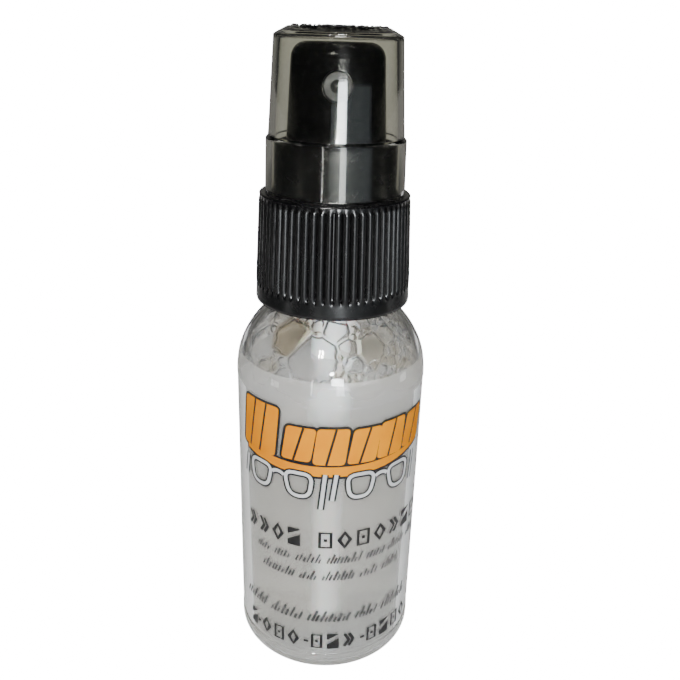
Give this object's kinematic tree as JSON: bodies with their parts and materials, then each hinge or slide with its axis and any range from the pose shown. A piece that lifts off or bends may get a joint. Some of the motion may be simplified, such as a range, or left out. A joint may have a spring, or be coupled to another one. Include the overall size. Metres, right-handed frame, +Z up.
{
  "type": "lens cleaning spray",
  "caption": "Clear round pocket spray bottle with a fine mist pump, a ribbed black screw collar, a black push button and a clear overcap.",
  "frame": {"origin": "centre of the bottle's standing ring, on the surface that it stands on", "axes": "+Z up along the bottle's axis; -Y is where the nozzle points"},
  "size_m": [0.03, 0.03, 0.1006],
  "materials": {
    "clear_pet": "polished",
    "label_film": "gloss",
    "black_collar": "satin",
    "clear_cap": "polished",
    "natural_plastic": "satin",
    "gasket": "matte",
    "soft_plastic": "satin",
    "spring_steel": "polished",
    "black_button": "gloss"
  },
  "bodies": {
    "bottle_body": {"bottle": "clear_pet", "label_film": "label_film"},
    "pump_body": {"turret": "natural_plastic", "pump_housing": "natural_plastic", "neck_gasket": "gasket", "dip_tube": "soft_plastic", "return_spring": "spring_steel"},
    "collar_body": {"collar": "black_collar"},
    "overcap_body": {"overcap": "clear_cap"},
    "plunger_body": {"stem": "natural_plastic", "valve_pin": "soft_plastic", "precompression_spring": "spring_steel"},
    "piston_body": {"piston": "soft_plastic"},
    "ball_body": {"inlet_ball": "spring_steel"},
    "button_body": {"actuator": "black_button", "nozzle_insert": "black_button"}
  },
  "joints": [
    {"name": "pump_lift", "type": "slide", "parent": "bottle_body", "child": "pump_body", "axis": [0, 0, 1], "range_m": [0, 0.0048]},
    {"name": "collar_unscrew", "type": "hinge", "parent": "pump_body", "child": "collar_body", "pos_m": [0, 0, 0.0618], "axis": [0, 0, 1], "range_deg": [0, 540]},
    {"name": "overcap_lift", "type": "slide", "parent": "collar_body", "child": "overcap_body", "axis": [0, 0, 1], "range_m": [0, 0.03]},
    {"name": "actuator_press", "type": "slide", "parent": "pump_body", "child": "plunger_body", "axis": [0, 0, -1], "range_m": [0, 0.0042], "stiffness_N_per_m": 1500, "springref_m": -0.003, "deforming": ["return_spring"]},
    {"name": "piston_slip", "type": "slide", "parent": "plunger_body", "child": "piston_body", "axis": [0, 0, 1], "range_m": [0, 0.0004], "stiffness_N_per_m": 3000, "springref_m": -0.001, "deforming": ["precompression_spring"]},
    {"name": "ball_lift", "type": "slide", "parent": "pump_body", "child": "ball_body", "axis": [0, 0, 1], "range_m": [0, 0.0008]},
    {"name": "actuator_spin", "type": "hinge", "parent": "plunger_body", "child": "button_body", "pos_m": [0, 0, 0.0915], "axis": [0, 0, 1], "continuous": true}
  ],
  "couplings": [
    {"joint": "pump_lift", "follows": "collar_unscrew", "m_per_rad": 0.00050532}
  ]
}
